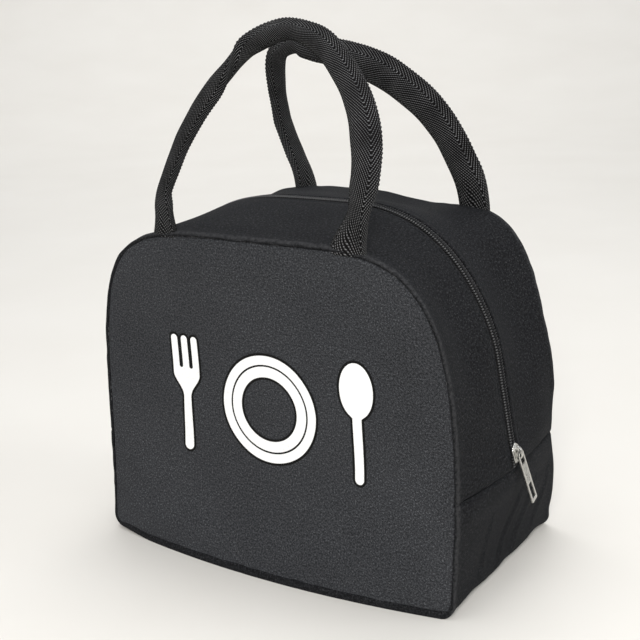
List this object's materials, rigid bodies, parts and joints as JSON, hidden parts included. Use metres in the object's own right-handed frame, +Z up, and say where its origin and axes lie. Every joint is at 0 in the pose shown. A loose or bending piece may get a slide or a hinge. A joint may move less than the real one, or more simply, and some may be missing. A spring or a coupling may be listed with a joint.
{
  "type": "insulated cooler bag",
  "caption": "Soft loaf-shaped insulated lunch bag: zip over the arched top, webbing handles, foam core and foil lining, printed front.",
  "frame": {"origin": "middle of the base, on the surface that the bag stands on", "axes": "+X to the right along the front, +Y from the front to the back, +Z up"},
  "size_m": [0.2383, 0.1404, 0.2851],
  "materials": {
    "oxford_cloth": "black woven oxford cloth with a fine dry weave, matte",
    "gusset_cloth": "black woven oxford cloth, slightly darker and smoother, matte",
    "epe_foam": "white closed-cell foam sheet",
    "foil_lining": "crinkled silver foil film",
    "webbing": "black herringbone webbing",
    "zip_tape_cloth": "black knitted zip tape",
    "zip_coil_nylon": "black nylon coil",
    "nickel": "nickel plated, softly polished",
    "white_print": "white screen print with a thin black outline"
  },
  "bodies": {
    "bag_base": {"fabric_band": "gusset_cloth", "fabric_front_panel_lower": "oxford_cloth", "fabric_rear_panel_lower": "oxford_cloth", "fabric_gusset_front_right_end": "gusset_cloth", "fabric_gusset_front_left_end": "gusset_cloth", "fabric_gusset_rear_right_end": "gusset_cloth", "fabric_gusset_rear_left_end": "gusset_cloth", "foam_band": "epe_foam", "foam_front_panel_lower": "epe_foam", "foam_rear_panel_lower": "epe_foam", "foil_band": "foil_lining", "foil_front_panel_lower": "foil_lining", "foil_rear_panel_lower": "foil_lining", "zip_tape_front_right_end": "zip_tape_cloth", "zip_tape_front_left_end": "zip_tape_cloth", "zip_tape_rear_right_end": "zip_tape_cloth", "zip_tape_rear_left_end": "zip_tape_cloth", "zip_coil_front_right_end": "zip_coil_nylon", "zip_coil_front_left_end": "zip_coil_nylon", "zip_coil_rear_right_end": "zip_coil_nylon", "zip_coil_rear_left_end": "zip_coil_nylon"},
    "front_half": {"fabric_front_panel": "oxford_cloth", "fabric_front_gusset": "gusset_cloth", "foam_front_panel": "epe_foam", "foam_front_gusset": "epe_foam", "foil_front_panel": "foil_lining", "foil_front_gusset": "foil_lining", "zip_tape_front": "zip_tape_cloth", "zip_coil_front": "zip_coil_nylon", "print_fork": "white_print", "print_plate": "white_print", "print_spoon": "white_print"},
    "rear_half": {"fabric_rear_panel": "oxford_cloth", "fabric_rear_gusset": "gusset_cloth", "foam_rear_panel": "epe_foam", "foam_rear_gusset": "epe_foam", "foil_rear_panel": "foil_lining", "foil_rear_gusset": "foil_lining", "zip_tape_rear": "zip_tape_cloth", "zip_coil_rear": "zip_coil_nylon"},
    "zip_slider": {"zip_slider": "nickel"},
    "zip_pull": {"zip_pull": "nickel"},
    "front_handle": {"front_handle": "webbing"},
    "rear_handle": {"rear_handle": "webbing"}
  },
  "joints": [
    {"name": "front_open", "type": "hinge", "parent": "bag_base", "child": "front_half", "pos_m": [0, -0.05584, 0.052], "axis": [1, 0, 0], "range_deg": [0, 40]},
    {"name": "rear_open", "type": "hinge", "parent": "bag_base", "child": "rear_half", "pos_m": [0, 0.05688, 0.052], "axis": [-1, 0, 0], "range_deg": [0, 40]},
    {"name": "zip_slide", "type": "slide", "parent": "bag_base", "child": "zip_slider", "axis": [0.158, 0, -0.9874], "range_m": [-0.042, 0]},
    {"name": "pull_swing", "type": "hinge", "parent": "zip_slider", "child": "zip_pull", "pos_m": [0.1174, 0, 0.06702], "axis": [0, -1, 0], "range_deg": [0, 150]},
    {"name": "front_handle_swing", "type": "hinge", "parent": "front_half", "child": "front_handle", "pos_m": [0, -0.05959, 0.1791], "axis": [1, 0, 0], "range_deg": [0, 140]},
    {"name": "rear_handle_swing", "type": "hinge", "parent": "rear_half", "child": "rear_handle", "pos_m": [0, 0.06387, 0.18302], "axis": [-1, 0, 0], "range_deg": [0, 120]}
  ]
}
